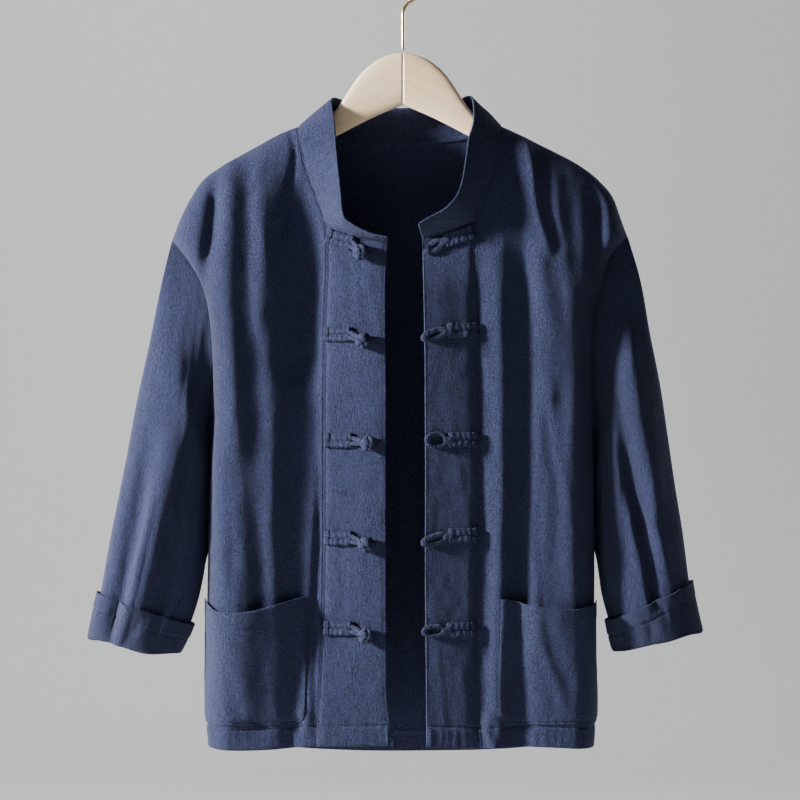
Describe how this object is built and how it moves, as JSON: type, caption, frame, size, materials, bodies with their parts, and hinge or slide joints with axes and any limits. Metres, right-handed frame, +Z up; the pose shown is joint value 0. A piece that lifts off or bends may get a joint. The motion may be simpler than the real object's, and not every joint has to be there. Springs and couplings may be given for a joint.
{
  "type": "stand-collar linen jacket on a wooden hanger",
  "caption": "Open linen jacket with a stand collar, knotted frog fastenings, patch pockets and turned-back cuffs, hung on a wooden hanger with a wire hook.",
  "frame": {"origin": "inside top of the hanger's hook, where a rail bears", "axes": "+Z up, +X towards the wearer's left, -Y out of the jacket's front"},
  "size_m": [0.7079, 0.0935, 0.9075],
  "materials": {
    "linen": "washed navy linen with a soft nap and fine slubs",
    "cord": "navy bias-cut linen cord, stitched down its middle",
    "wood": "light beech, satin varnish",
    "hook": "polished brass wire"
  },
  "bodies": {
    "root": {"front_right": "linen", "front_left": "linen", "band_right": "linen", "band_left": "linen", "back": "linen", "sleeve_right": "linen", "sleeve_left": "linen", "cuff_right": "linen", "cuff_left": "linen", "collar": "linen", "pocket_right": "linen", "pocket_left": "linen", "knot_1": "cord", "knot_2": "cord", "knot_3": "cord", "knot_4": "cord", "knot_5": "cord", "loop_1": "cord", "loop_2": "cord", "loop_3": "cord", "loop_4": "cord", "loop_5": "cord", "hanger_right": "wood", "hanger_left": "wood", "hanger_hook": "hook"}
  },
  "joints": []
}
